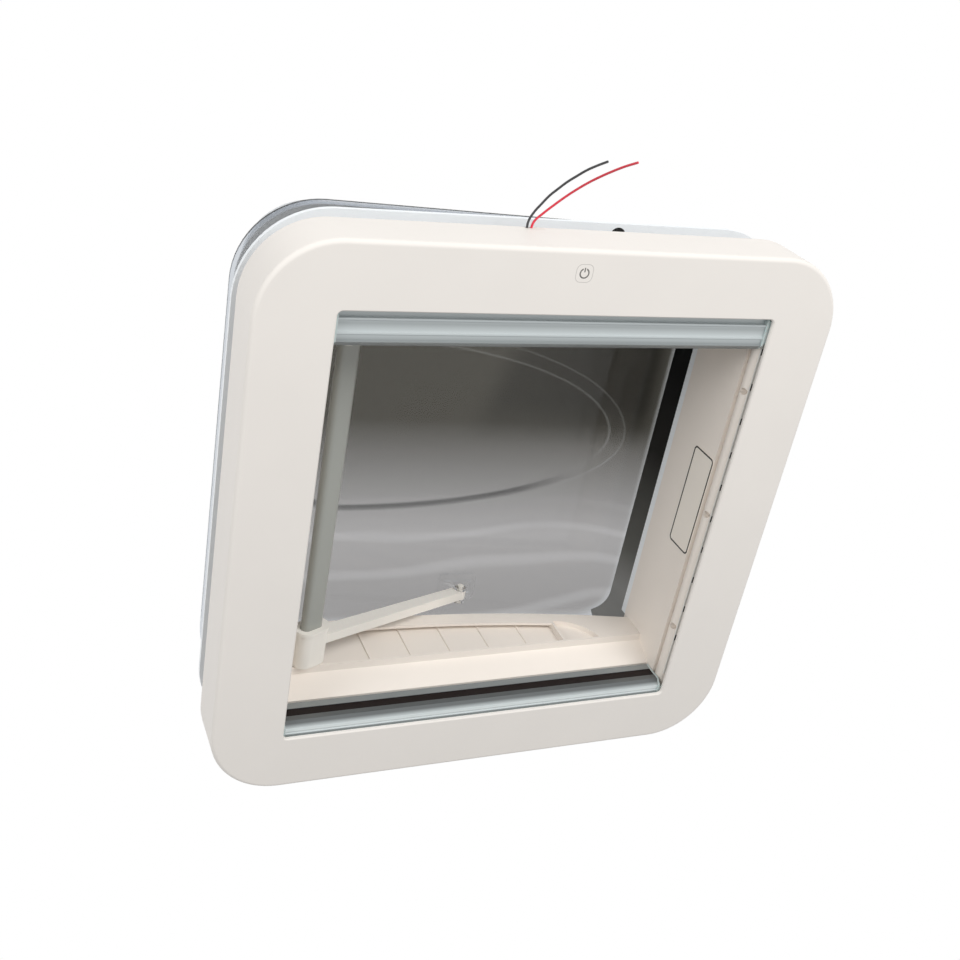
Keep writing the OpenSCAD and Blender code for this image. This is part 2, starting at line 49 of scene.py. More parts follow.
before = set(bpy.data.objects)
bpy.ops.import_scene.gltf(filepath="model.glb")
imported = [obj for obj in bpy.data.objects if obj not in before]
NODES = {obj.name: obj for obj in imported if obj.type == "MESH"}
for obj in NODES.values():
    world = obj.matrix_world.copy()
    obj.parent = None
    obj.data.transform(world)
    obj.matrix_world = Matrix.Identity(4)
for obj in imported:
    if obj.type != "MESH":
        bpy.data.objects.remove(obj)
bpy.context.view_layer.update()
MM = 0.001


def srgb(red, green, blue):
    """Linear colour of an eight-bit display colour."""
    shares = (red / 255, green / 255, blue / 255)
    return tuple(c / 12.92 if c <= 0.04045 else ((c + 0.055) / 1.055) ** 2.4 for c in shares)


def scaled(colour, share):
    """A colour made darker or brighter by a share, and kept in range."""
    return tuple(min(1.0, c * share) for c in colour)


def colour_property(name, description, *display):
    """A colour that a user would change."""
    return bpy.props.FloatVectorProperty(
        name=name, description=description, subtype="COLOR", size=3, min=0.0, max=1.0, default=srgb(*display)
    )


def length_property(name, description, millimetres):
    """A length that a user would change."""
    return bpy.props.FloatProperty(
        name=name,
        description=description,
        subtype="DISTANCE",
        unit="LENGTH",
        min=0.0,
        default=millimetres * MM,
    )


def count_property(name, description, number, least, most):
    """A count that a user would change."""
    return bpy.props.IntProperty(name=name, description=description, default=number, min=least, max=most)


class VentColours(bpy.types.PropertyGroup):
    """Colours of the vent's finishes."""

    trim: colour_property("Trim", "Cream trim that shows below the ceiling", 238, 233, 227)
    liner: colour_property("Liner", "Warmer cream of the liner, rails and guide walls", 246, 238, 229)
    # The roof frame white is painted light: a brighter, cooler white on the roof frame's outer parts
    roof_frame: colour_property("Roof frame", "White moulding that goes through the roof", 246, 250, 253)
    bail: colour_property("Bail", "Ivory corners, arms and pins", 250, 246, 238)
    bail_bar: colour_property("Bail bar", "Grey paint of the bar that is pulled", 162, 164, 158)
    # The run from the dark smoke to the light smoke across the dome is painted shade and light
    smoke_dark: colour_property("Dark smoke", "Tint of the dome on the flyscreen side", 77, 75, 69)
    smoke_light: colour_property("Light smoke", "Tint of the dome on the blackout side", 176, 175, 176)
    smoke_rim: colour_property("Rim of the dome", "Pale edge where the dome's rim is bent", 212, 216, 221)
    bars: colour_property("Pull bars", "Satin aluminium", 192, 199, 200)
    caps: colour_property("Caps", "Milky plastic at the ends of the pull bars", 202, 214, 213)
    magnet: colour_property("Magnet strips", "Dark rubber in the meeting faces", 30, 23, 22)
    blackout: colour_property("Blackout cloth", "Pleated cloth that keeps the light out", 226, 220, 208)
    flyscreen: colour_property("Flyscreen", "Pleated mesh that keeps insects out", 78, 80, 80)


class VentSizes(bpy.types.PropertyGroup):
    """Sizes of the pieces that are made here."""

    lead_diameter: length_property("Lead diameter", "Over the insulation of a supply lead", 1.8)
    dome_sheet: length_property("Dome sheet", "Thickness of the outer dome", 2.5)
    field_height: length_property("Raised field", "Height of the oval field in the dome's crown", 4.0)
    chip_pitch: length_property("Chip pitch", "Distance between two lights on a strip", 31.7)
    chip_length: length_property("Chip length", "Length of one light", 6.0)
    screw_pitch: length_property("Screw pitch", "Distance between two rail screws", 119.0)
    folds: count_property("Folds", "Folds of a retracted blind", 8, 4, 20)
    chips: count_property("Chips", "Lights on each strip", 10, 1, 40)


def add_object(name, mesh):
    """Links a mesh to the scene as an object at the origin."""
    piece = bpy.data.objects.new(name, mesh)
    bpy.context.scene.collection.objects.link(piece)
    return piece


def piece_from(name, bm):
    """Makes an object from a bmesh, and frees the bmesh."""
    mesh = bpy.data.meshes.new(name)
    bm.to_mesh(mesh)
    bm.free()
    return add_object(name, mesh)


def mesh_piece(name, build, smooth_below=40.0):
    """Makes an object from what build does to a bmesh, with merged doubles and soft edges below an angle."""
    bm = bmesh.new()
    build(bm)
    bmesh.ops.remove_doubles(bm, verts=bm.verts, dist=1e-6)
    bmesh.ops.dissolve_degenerate(bm, edges=bm.edges, dist=1e-7)
    bmesh.ops.recalc_face_normals(bm, faces=bm.faces)
    limit = math.radians(smooth_below)
    for face in bm.faces:
        face.smooth = True
    for edge in bm.edges:
        edge.smooth = len(edge.link_faces) != 2 or edge.calc_face_angle(0.0) < limit
    return piece_from(name, bm)


def dress(piece, finish):
    """Gives a piece one finish."""
    piece.data.materials.clear()
    piece.data.materials.append(finish.material)


def finish_nodes(finish, *nodes):
    """Gives nodes of the frame a better finish."""
    for node in nodes:
        NODES[node].material_slots[0].material = finish.material


class Finish:
    """A material with a Principled shader, and short ways to add nodes to it."""

    def __init__(self, name, **values):
        self.material = bpy.data.materials.new(name)
        self.material.use_nodes = True
        self.tree = self.material.node_tree
        self.links = self.tree.links
        self.shader = self.tree.nodes["Principled BSDF"]
        self.coords = self.tree.nodes.new("ShaderNodeTexCoord")
        self.place = self.coords.outputs["Object"]
        self.set(**values)

    def set(self, **values):
        """Sets constant values on the shader's own sockets."""
        for socket, value in values.items():
            self.shader.inputs[socket.replace("_", " ")].default_value = value

    def put(self, kind, inputs=None, **settings):
        """Adds a node, with its settings, and its inputs as values or links."""
        return add_node(self.tree, kind, inputs, **settings)

    def into(self, socket, value):
        """Links a value to the shader."""
        self.links.new(value, self.shader.inputs[socket])

    def bump(self, height, strength, distance):
        """Lets a height shape the shader's normal."""
        node = self.put("ShaderNodeBump", {"Height": height, "Strength": strength, "Distance": distance})
        self.into("Normal", node.outputs["Normal"])

    def surface(self, height, roughness, strength, distance):
        """Lets a height shape the roughness, between two values, and the normal."""
        self.into("Roughness", self.span(height, 0.0, 1.0, *roughness))
        self.bump(height, strength, distance)

    def axes(self):
        """The place on the object along X, Y and Z."""
        return self.put("ShaderNodeSeparateXYZ", {0: self.place}).outputs

    def math(self, operation, first, second=0.0):
        """A math node's result."""
        return math_node(self.tree, operation, first, second)

    def span(self, value, start, end, low=0.0, high=1.0):
        """Maps a value between start and end to the range from low to high."""
        ends = {"From Min": start, "From Max": end, "To Min": low, "To Max": high}
        return self.put("ShaderNodeMapRange", {"Value": value, **ends}).outputs["Result"]

    def ramp(self, factor, stops):
        """A colour ramp over a factor."""
        node = self.put("ShaderNodeValToRGB", {"Fac": factor})
        elements = node.color_ramp.elements
        while len(elements) < len(stops):
            elements.new(0.5)
        for element, (at, colour) in zip(elements, stops):
            element.position = at
            element.color = (*colour, 1.0)
        return node.outputs["Color"]

    def mix(self, factor, first, second):
        """Mixes two colours, which are sockets or linear colours."""
        node = self.put("ShaderNodeMix", data_type="RGBA")
        for index, value in ((0, factor), (6, first), (7, second)):
            if isinstance(value, bpy.types.NodeSocket):
                self.links.new(value, node.inputs[index])
            else:
                node.inputs[index].default_value = (*value, 1.0) if index else value
        return node.outputs[2]


def add_node(tree, kind, inputs=None, **settings):
    """Adds a node to a tree, with its settings, and its inputs as values or links."""
    node = tree.nodes.new(kind)
    for key, value in settings.items():
        setattr(node, key, value)
    for key, value in (inputs or {}).items():
        if isinstance(value, bpy.types.NodeSocket):
            tree.links.new(value, node.inputs[key])
        else:
            node.inputs[key].default_value = value
    return node


def math_node(tree, operation, first, second=0.0):
    """A math node's result."""
    return add_node(tree, "ShaderNodeMath", {0: first, 1: second}, operation=operation).outputs[0]


def new_group(name, sizes, outputs):
    """An empty shader group with a vector, its sizes and its outputs, and its two end nodes."""
    group = bpy.data.node_groups.new(name, "ShaderNodeTree")
    group.interface.new_socket("Vector", in_out="INPUT", socket_type="NodeSocketVector")
    for socket, value in sizes.items():
        made = group.interface.new_socket(socket, in_out="INPUT", socket_type="NodeSocketFloat")
        made.default_value = value
    for socket in outputs:
        group.interface.new_socket(socket, in_out="OUTPUT", socket_type="NodeSocketFloat")
    return group, group.nodes.new("NodeGroupInput"), group.nodes.new("NodeGroupOutput")


def built_once(build):
    """Builds a node group under its function's name the first time, and then hands out the same one."""

    def group():
        return bpy.data.node_groups.get(build.__name__) or build()

    return group


@built_once
def moulded_grain():
    """Fine spark grain of a mould and the slow mottling of the plastic in it."""
    group, start, end = new_group("moulded_grain", {"Grain": 1500.0, "Cloud": 14.0}, ("Height", "Mottle"))
    for size, detail, roughness, output in (("Grain", 3.0, 0.6, "Height"), ("Cloud", 4.0, 0.55, "Mottle")):
        inputs = {"Vector": start.outputs["Vector"], "Scale": start.outputs[size]}
        inputs |= {"Detail": detail, "Roughness": roughness}
        noise = add_node(group, "ShaderNodeTexNoise", inputs)
        group.links.new(noise.outputs[0], end.inputs[output])
    return group


@built_once
def drawn_lines():
    """Fine lines along X, as drawing and brushing leave on metal."""
    group, start, end = new_group("drawn_lines", {"Lines": 1400.0}, ("Height", "Streaks"))
    long_x = (0.006, 1.0, 1.0)
    drawn = add_node(group, "ShaderNodeMapping", {"Vector": start.outputs["Vector"], "Scale": long_x})
    for size, detail, output in ((start.outputs["Lines"], 2.0, "Height"), (220.0, 3.0, "Streaks")):
        inputs = {"Vector": drawn.outputs[0], "Scale": size, "Detail": detail}
        noise = add_node(group, "ShaderNodeTexNoise", inputs)
        group.links.new(noise.outputs[0], end.inputs[output])
    return group


@built_once
def woven_cloth():
    """Crossing threads over a piece's own map, in metres."""
    group, start, end = new_group("woven_cloth", {"Threads": 900.0}, ("Height", "Weave"))
    threads = []
    for direction in ("X", "Y"):
        inputs = {"Vector": start.outputs["Vector"], "Scale": start.outputs["Threads"]}
        inputs |= {"Distortion": 0.6, "Detail": 1.0}
        wave = add_node(group, "ShaderNodeTexWave", inputs, bands_direction=direction)
        threads.append(wave.outputs["Fac"])
    group.links.new(math_node(group, "MAXIMUM", *threads), end.inputs["Height"])
    group.links.new(math_node(group, "MULTIPLY", *threads), end.inputs["Weave"])
    return group


def reach_of(finish, ways):
    """Length of two distances at right angles."""
    return finish.math("SQRT", finish.math("ADD", *[finish.math("MULTIPLY", way, way) for way in ways]))


def rounded_frame(finish, centre, half, radius, axes):
    """Distance from the outline of a rounded rectangle, in two axes of the place on the object."""
    place = finish.axes()
    parts = []
    for axis, middle, reach in zip(axes, centre, half):
        away = finish.math("ABSOLUTE", finish.math("SUBTRACT", place[axis], middle))
        parts.append(finish.math("SUBTRACT", away, reach - radius))
    outside = reach_of(finish, [finish.math("MAXIMUM", part, 0.0) for part in parts])
    inside = finish.math("MINIMUM", finish.math("MAXIMUM", *parts), 0.0)
    return finish.math("SUBTRACT", finish.math("ADD", outside, inside), radius)


def line_mask(finish, distance, width):
    """One on a line of the given width where the distance is zero."""
    return finish.math("LESS_THAN", finish.math("ABSOLUTE", distance), width / 2)


def moulded(name, colour, roughness, grain=1500.0, depth=0.12):
    """A moulded plastic: grain in its normal and roughness, slow mottling in its colour."""
    finish = Finish(name, Roughness=roughness)
    inputs = {"Vector": finish.place, "Grain": grain}
    grains = finish.put("ShaderNodeGroup", inputs, node_tree=moulded_grain())
    finish.colour = finish.mix(grains.outputs["Mottle"], scaled(colour, 0.965), scaled(colour, 1.02))
    finish.into("Base Color", finish.colour)
    finish.surface(grains.outputs["Height"], (roughness - 0.05, roughness + 0.06), depth, 0.2 * MM)
    return finish


def power_mark(finish, centre):
    """Prints a generic power sign in a rounded square on the trim's face."""
    half, radius, frame_line, frame_share = 6.8 * MM, 4.4 * MM, 0.5 * MM, 0.4
    ring_radius, ring_line, ring_gap = 3.5 * MM, 1.1 * MM, 1.3 * MM
    stroke_half, stroke_middle, stroke_long = 0.5 * MM, 2.6 * MM, 3.4 * MM
    face_depth = 0.4 * MM
    place = finish.axes()
    outline = rounded_frame(finish, centre, (half, half), radius, ("X", "Y"))
    square = finish.math("MULTIPLY", line_mask(finish, outline, frame_line), frame_share)
    across = finish.math("SUBTRACT", place["X"], centre[0])
    along = finish.math("SUBTRACT", place["Y"], centre[1])
    aside = finish.math("ABSOLUTE", across)
    reach = reach_of(finish, (across, along))
    ring = line_mask(finish, finish.math("SUBTRACT", reach, ring_radius), ring_line)
    beside = finish.math("GREATER_THAN", aside, ring_gap)
    below = finish.math("GREATER_THAN", along, 0.0)
    ring = finish.math("MULTIPLY", ring, finish.math("MAXIMUM", beside, below))
    tall = line_mask(finish, finish.math("ADD", along, stroke_middle), stroke_long)
    stroke = finish.math("MULTIPLY", finish.math("LESS_THAN", aside, stroke_half), tall)
    mark = finish.math("MAXIMUM", finish.math("MAXIMUM", ring, stroke), square)
    mark = finish.math("MULTIPLY", mark, finish.math("LESS_THAN", place["Z"], face_depth))
    finish.colour = finish.mix(mark, finish.colour, srgb(112, 110, 106))
    finish.into("Base Color", finish.colour)


def plated_metal(name, colour, roughness):
    """A plated metal with fine grain."""
    finish = Finish(name, Metallic=1.0)
    grains = finish.put("ShaderNodeGroup", {"Vector": finish.place}, node_tree=moulded_grain())
    finish.into("Base Color", finish.mix(grains.outputs["Mottle"], scaled(colour, 0.93), colour))
    finish.surface(grains.outputs["Height"], (roughness - 0.06, roughness + 0.08), 0.08, 0.1 * MM)
    return finish


def ridged_metal(name, colour, roughness, faces, painted_light_bands):
    """An extruded metal bar with painted highlights and painted shade in bands, from its meeting face to its
    back.
    """
    bar_width, back_height = 30.0, 23.5 * MM
    finish = Finish(name, Metallic=0.35)
    lines = finish.put("ShaderNodeGroup", {"Vector": finish.place}, node_tree=drawn_lines())
    place = finish.axes()
    # Painted highlights and painted shade: bands of brighter and darker colour across the bar
    stops = [(at / bar_width, scaled(colour, share)) for at, share in painted_light_bands]
    shade = finish.ramp(finish.span(place["Y"], *faces), stops)
    # Painted shade: the bar's back above back_height is darker
    above = finish.math("GREATER_THAN", place["Z"], back_height)
    shade = finish.mix(above, shade, scaled(colour, 0.6))
    dull = finish.math("MULTIPLY", lines.outputs["Streaks"], 0.12)
    finish.into("Base Color", finish.mix(dull, shade, (0.0, 0.0, 0.0)))
    finish.surface(lines.outputs["Height"], (roughness - 0.06, roughness + 0.08), 0.08, 0.1 * MM)
    return finish


def clear_plastic(name, wave_scale, wave_depth, **values):
    """See-through plastic whose formed faces are slightly wavy."""
    finish = Finish(name, Transmission_Weight=1.0, **values)
    wave = finish.put("ShaderNodeTexNoise", {"Vector": finish.place, "Scale": wave_scale, "Detail": 1.0})
    finish.bump(wave.outputs[0], wave_depth, 10.0 * MM)
    return finish


DOME_HALF, DOME_RADIUS = 227.0 * MM, 67.0 * MM


def smoked(name, dark, light, rim):
    """Smoked acrylic, pale at the rim: painted shade towards -Y and the hinge, painted light and shade on the
    raised field.
    """
    finish = clear_plastic(name, 7.0, 0.03, Roughness=0.02, IOR=1.2)
    across, along, _ = finish.axes()
    # The smoke is the sheet's own tint; its run from dark towards -Y to pale towards +Y is painted shade and
    # light
    shares = ((0.28, 0.0), (0.72, 1.0), (1.0, 0.85))
    stops = [(at, tuple(d + (b - d) * share for d, b in zip(dark, light))) for at, share in shares]
    tint = finish.ramp(finish.span(along, -90.0 * MM, 180.0 * MM), stops)
    # Painted reflections: wavy gleams on the pale side
    drawn = finish.put("ShaderNodeMapping", {"Vector": finish.place, "Scale": (0.35, 1.0, 0.2)})
    waves = finish.put(
        "ShaderNodeTexWave",
        {"Vector": drawn.outputs[0], "Scale": 7.0, "Distortion": 14.0, "Detail": 2.0, "Detail Scale": 0.8},
        bands_direction="Y",
    )
    crest = finish.span(waves.outputs["Fac"], 0.72, 1.0)
    painted_reflection = finish.math("MULTIPLY", crest, finish.span(along, 60.0 * MM, 110.0 * MM, 0.0, 0.2))
    tint = finish.mix(painted_reflection, tint, srgb(224, 224, 227))
    outline = rounded_frame(finish, (0.0, 0.0), (DOME_HALF, DOME_HALF), DOME_RADIUS, ("X", "Y"))
    # Painted shade: two steps of darkness towards the hinge, on the crown's -Y half
    crown = finish.span(outline, -30.0 * MM, -45.0 * MM)
    upper = finish.math("MULTIPLY", finish.span(along, 10.0 * MM, -35.0 * MM), crown)
    slant = finish.math("ADD", across, finish.math("MULTIPLY", along, 0.3))
    for way, first, last in ((slant, 8.0, 34.0), (across, 60.0, 150.0)):
        painted_shade = finish.math("MULTIPLY", finish.span(way, first * MM, last * MM, 0.0, 0.5), upper)
        tint = finish.mix(painted_shade, tint, scaled(dark, 0.12))
    # Painted highlights and painted shade along the raised field's bevel
    for layer, colour in (("field_light", srgb(176, 178, 180)), ("field_shade", srgb(24, 25, 26))):
        edge = finish.put("ShaderNodeAttribute", attribute_name=layer)
        tint = finish.mix(edge.outputs["Fac"], tint, colour)
    border = finish.span(outline, -34.0 * MM, -18.0 * MM)
    finish.into("Base Color", finish.mix(border, tint, rim))
    return finish


def rubber(name, colour, roughness):
    """Rubber or soft plastic with a dull, uneven skin."""
    return moulded(name, colour, roughness, grain=900.0, depth=0.2)


def cloth(name, colour, threads):
    """Woven cloth that follows the piece's own map."""
    finish = Finish(name, Sheen_Weight=0.15)
    inputs = {"Vector": finish.coords.outputs["UV"], "Threads": threads}
    weave = finish.put("ShaderNodeGroup", inputs, node_tree=woven_cloth())
    finish.into("Base Color", finish.mix(weave.outputs["Weave"], scaled(colour, 0.8), colour))
    finish.surface(weave.outputs["Height"], (0.95, 0.75), 0.4, 0.2 * MM)
    return finish


def square_ring(half, radius, per_side, per_corner):
    """Points and outward normals round a rounded square, counted from the -Y end of the +X side."""
    ring = []
    flat = half - radius
    for quarter in range(4):
        turn = Matrix.Rotation(quarter * math.pi / 2, 2)
        for i in range(per_side + 1):
            ring.append((turn @ Vector((half, flat * (2 * i / per_side - 1))), turn @ Vector((1, 0))))
        for i in range(1, per_corner):
            angle = i / per_corner * math.pi / 2
            normal = Vector((math.cos(angle), math.sin(angle)))
            ring.append((turn @ (Vector((flat, flat)) + radius * normal), turn @ normal))
    return ring


def loft(bm, rings):
    """Joins rings of points with quads, and returns the rings' vertices."""
    made = [[bm.verts.new(p) for p in ring] for ring in rings]
    for low, high in zip(made, made[1:]):
        for i in range(len(low)):
            j = (i + 1) % len(low)
            bm.faces.new((low[i], low[j], high[j], high[i]))
    return made


def rounded_section(corners):
    """A section's points with its corners rounded: each corner is inset, height, radius."""
    steps = 6
    points = []
    last = len(corners) - 1
    for i, (inset, height, radius) in enumerate(corners):
        here = Vector((inset, height))
        if radius == 0 or i in (0, last):
            points.append(here)
            continue
        before = (Vector(corners[i - 1][:2]) - here).normalized()
        after = (Vector(corners[i + 1][:2]) - here).normalized()
        half = before.angle(after) / 2
        reach = radius / math.tan(half)
        centre = here + (before + after).normalized() * radius / math.sin(half)
        first = here + before * reach - centre
        sweep = first.angle_signed(here + after * reach - centre)
        for k in range(steps + 1):
            points.append(centre + Matrix.Rotation(-sweep * k / steps, 2) @ first)
    return points


def swept_rings(ring, section):
    """The section carried round a ring: its first value is the inset, its second the height."""
    return [[(*(point - normal * s[0]), s[1]) for point, normal in ring] for s in section]


HINGE = Vector((233.0, 0.0, 88.0)) * MM
DOME_OPEN = math.radians(5.0)


def open_dome(piece):
    """Turns what is made for a closed dome to where the dome stands."""
    turn = Matrix.Translation(HINGE) @ Matrix.Rotation(DOME_OPEN, 4, "Y") @ Matrix.Translation(-HINGE)
    piece.data.transform(turn)


# The raised field: its reach is given towards -X and +X, its half width and bevel towards -Y and +Y
FIELD_MIDDLE = Vector((-110.0, -1.0)) * MM
FIELD_REACH = (54.0 * MM, 275.0 * MM)
FIELD_HALF = (106.0 * MM, 81.0 * MM)
FIELD_STEEP = (1.0, 0.4)
# Inset in millimetres and share of the rise, from the bevel's foot to its top
FIELD_BEVEL = (
    (-1.5, 0.0), (0.0, 0.02), (1.5, 0.1), (3.5, 0.22), (8.0, 0.5), (9.5, 0.59), (11.0, 0.68), (12.5, 0.77),
    (14.5, 0.9), (16.0, 0.98), (18.0, 1.0),
)
# Rings of the crown near the bevel's foot, in its painted shade and near its top
BEVEL_FOOT, BEVEL_DARK, BEVEL_TOP = 4, (6, 11), 11


def field_outline(angle, inset):
    """Distance from the raised field's middle to its egg-shaped outline, drawn in by an inset."""
    long = FIELD_REACH[math.cos(angle) > 0] - inset
    lower = math.sin(angle) > 0
    wide = FIELD_HALF[lower] - inset * FIELD_STEEP[lower]
    return 1.0 / math.hypot(math.cos(angle) / long, math.sin(angle) / wide)


def crown_rings(border, height, rise):
    """Rings from a crown's border over the raised field's bevel to its middle."""
    ways = [(Vector(point[:2]) - FIELD_MIDDLE).normalized() for point in border]
    angles = [math.atan2(way.y, way.x) for way in ways]

    def outline(inset):
        return [FIELD_MIDDLE + way * field_outline(angle, inset) for way, angle in zip(ways, angles)]

    foot = outline(FIELD_BEVEL[0][0] * MM)
    rings = [[(*Vector(p[:2]).lerp(o, share), height) for p, o in zip(border, foot)] for share in (0.35, 0.7)]
    for inset, lift in FIELD_BEVEL:
        rings.append([(*point, height + lift * rise) for point in outline(inset * MM)])
    inner = outline(FIELD_BEVEL[-1][0] * MM)
    for share in (0.4, 0.7, 0.95):
        rings.append([(*point.lerp(FIELD_MIDDLE, share), height + rise) for point in inner])
    return rings


def between(value, start, end):
    """How far a value is on its way from start to end, from 0 to 1."""
    return min(1.0, max(0.0, (value - start) / (end - start)))


def mark_field(rings, lit, shade):
    """Marks the bevel's vertices for painted light: highlights on its two edges, and shade on its +Y side."""
    for edge, strength in ((BEVEL_FOOT, 0.35), (BEVEL_TOP, 0.5)):
        for vertex in rings[edge]:
            lower = between(vertex.co.y, 0.0, 25.0 * MM)
            glint = 0.75 * between(vertex.co.x, 85.0 * MM, 130.0 * MM) if edge == BEVEL_FOOT else 0.15
            vertex[lit] = strength + (glint - strength) * lower
    first, last = BEVEL_DARK
    for edge in range(first, last + 1):
        for vertex in rings[edge]:
            lower = between(vertex.co.y, 30.0 * MM, 46.0 * MM)
            far = between(vertex.co.x, 140.0 * MM, 70.0 * MM)
            vertex[shade] = lower * far * (0.45 if edge in BEVEL_DARK else 0.85)


def build_dome_shell(bm, sheet, rise):
    """The outer dome: rim, raked wall, round shoulder, sloped crown and raised field."""
    lit, shade = (bm.verts.layers.float.new(name) for name in ("field_light", "field_shade"))
    ring = square_ring(DOME_HALF, DOME_RADIUS, 40, 16)
    foot, top = 85.5 * MM, 148.0 * MM
    shoulder, bend = Vector((34.0, 120.0)) * MM, 22.0 * MM
    wall, lip, crown, soft = 5.0 * MM, 20.0 * MM, 60.0 * MM, 0.3 * MM
    steps = 10

    def arc(radius, first, last):
        angles = [math.radians(first + (last - first) * i / steps) for i in range(steps + 1)]
        return [shoulder + radius * Vector((-math.cos(a), math.sin(a))) for a in angles]

    outer = [Vector((wall, foot + sheet)), *arc(bend, 0, 80), Vector((crown, top))]
    inner = [Vector((crown, top - sheet)), *arc(bend - sheet, 80, 0), Vector((wall + sheet, foot + sheet))]
    rim = [Vector((lip, foot + sheet)), Vector((lip, foot)), Vector((soft, foot))]
    edge = [Vector((0.0, foot + soft)), Vector((0.0, foot + sheet - soft)), Vector((soft, foot + sheet))]
    made = loft(bm, swept_rings(ring, inner + rim + edge + outer))
    for border, height in ((made[-1], top), (made[0], top - sheet)):
        points = [v.co.copy() for v in border]
        rings = loft(bm, [[tuple(p) for p in points]] + crown_rings(points, height, rise))
        bm.faces.new(rings[-1])
        if height < top:
            mark_field(rings, lit, shade)


def build_pane(bm):
    """The inner pane: a flat tray with softly bent sides and a rim under the dome's rim."""
    ring = square_ring(224.0 * MM, 65.0 * MM, 24, 14)
    upper = rounded_section([(0.0, 85.2, 0), (18.4, 85.2, 3.0), (40.6, 126.0, 6.0), (58.0, 126.0, 0)])
    lower = rounded_section([(58.0, 124.0, 0), (42.0, 124.0, 8.0), (20.4, 83.5, 5.0), (0.0, 83.5, 0)])
    made = loft(bm, swept_rings(ring, [p * MM for p in lower + upper]))
    for border in (made[0], made[-1]):
        bm.faces.new(border)


def build_bond(bm):
    """The bead that joins the two rims: a thin flat ring between them."""
    ring = square_ring(223.5 * MM, 64.5 * MM, 24, 14)
    section = [(0.0, 85.25), (16.8, 85.25), (16.8, 85.45), (0.0, 85.45), (0.0, 85.25)]
    loft(bm, swept_rings(ring, [Vector(p) * MM for p in section]))


def zigzag(start, end, low, high, folds):
    """Points of a folded cloth's section from start to end, with round folds."""
    points = []
    step = (end - start) / (2 * folds)
    soft, beside = 1.2 * MM, 0.12 * step
    for i in range(2 * folds + 1):
        at = start + i * step
        height = low if i % 2 == 0 else high
        inward = soft if i % 2 == 0 else -soft
        if i > 0:
            points.append((at - beside, height + inward))
        points.append((at, height))
        if i < 2 * folds:
            points.append((at + beside, height + inward))
    return points


def folded_cloth(name, section, half):
    """A pleated cloth along X with its flat map in metres."""
    columns = 24
    bm = bmesh.new()
    layer = bm.loops.layers.uv.new("cloth")
    across = [half * (2 * i / columns - 1) for i in range(columns + 1)]
    rows = [[bm.verts.new((x, y, z)) for x in across] for y, z in section]
    run = [0.0]
    for a, b in zip(section, section[1:]):
        run.append(run[-1] + math.dist(a, b))
    for k in range(len(rows) - 1):
        for i in range(columns):
            face = bm.faces.new((rows[k][i], rows[k][i + 1], rows[k + 1][i + 1], rows[k + 1][i]))
            face.smooth = True
            corners = ((i, k), (i + 1, k), (i + 1, k + 1), (i, k + 1))
            for loop, (column, row) in zip(face.loops, corners):
                loop[layer].uv = (2 * half * column / columns, run[row])
    return piece_from(name, bm), run[-1]


def build_screw(bm, radius, height, cross, shank):
    """A screw whose pan head with a cross recess stands on its origin along +Z, over its shank."""
    sides = 24
    angles = [2 * math.pi * i / sides for i in range(sides)]
    thick, long = shank
    profile = [(thick, -long), (thick, 0.0), (radius, 0.0), (radius, height * 0.55)]
    profile += [(radius * 0.93, height * 0.8), (radius * 0.78, height)]
    made = loft(bm, [[(r * math.cos(a), r * math.sin(a), z) for a in angles] for r, z in profile])
    bm.faces.new(made[0])
    arm, thin = cross
    outline = []
    for quarter in range(4):
        turn = Matrix.Rotation(quarter * math.pi / 2, 2)
        outline += [turn @ Vector(p) for p in ((arm, -thin), (arm, thin), (thin, thin))]
    lip = [(*p, height) for p in outline]
    mouth, floor = loft(bm, [lip, [(*(p * 0.7), height * 0.25) for p in outline]])
    bm.faces.new(floor)
    edges = []
    for ring in (made[-1], mouth):
        edges += [bm.edges.get(pair) for pair in zip(ring, ring[1:] + ring[:1])]
    bmesh.ops.triangle_fill(bm, use_beauty=True, edges=edges)


@built_once
def row_along_y():
    """Repeats an object along Y: a row of equal steps, each turned and faced the same way."""
    tree = bpy.data.node_groups.new("row_along_y", "GeometryNodeTree")
    sockets = {"Geometry": "Geometry", "Piece": "Object", "Count": "Int", "First": "Vector", "Pitch": "Float"}
    sockets |= {"Turn": "Rotation", "Finish": "Material"}
    for socket, kind in sockets.items():
        tree.interface.new_socket(socket, in_out="INPUT", socket_type=f"NodeSocket{kind}")
    tree.interface.new_socket("Geometry", in_out="OUTPUT", socket_type="NodeSocketGeometry")
    start, end = tree.nodes.new("NodeGroupInput").outputs, tree.nodes.new("NodeGroupOutput")
    step = add_node(tree, "ShaderNodeCombineXYZ", {"Y": start["Pitch"]})
    line = add_node(
        tree,
        "GeometryNodeMeshLine",
        {"Count": start["Count"], "Start Location": start["First"], "Offset": step.outputs[0]},
    )
    piece = add_node(tree, "GeometryNodeObjectInfo", {"Object": start["Piece"]})
    row = add_node(
        tree,
        "GeometryNodeInstanceOnPoints",
        {"Points": line.outputs["Mesh"], "Instance": piece.outputs["Geometry"], "Rotation": start["Turn"]},
    )
    real = add_node(tree, "GeometryNodeRealizeInstances", {"Geometry": row.outputs["Instances"]})
    inputs = {"Geometry": real.outputs["Geometry"], "Material": start["Finish"]}
    done = add_node(tree, "GeometryNodeSetMaterial", inputs)
    tree.links.new(done.outputs["Geometry"], end.inputs["Geometry"])
    return tree


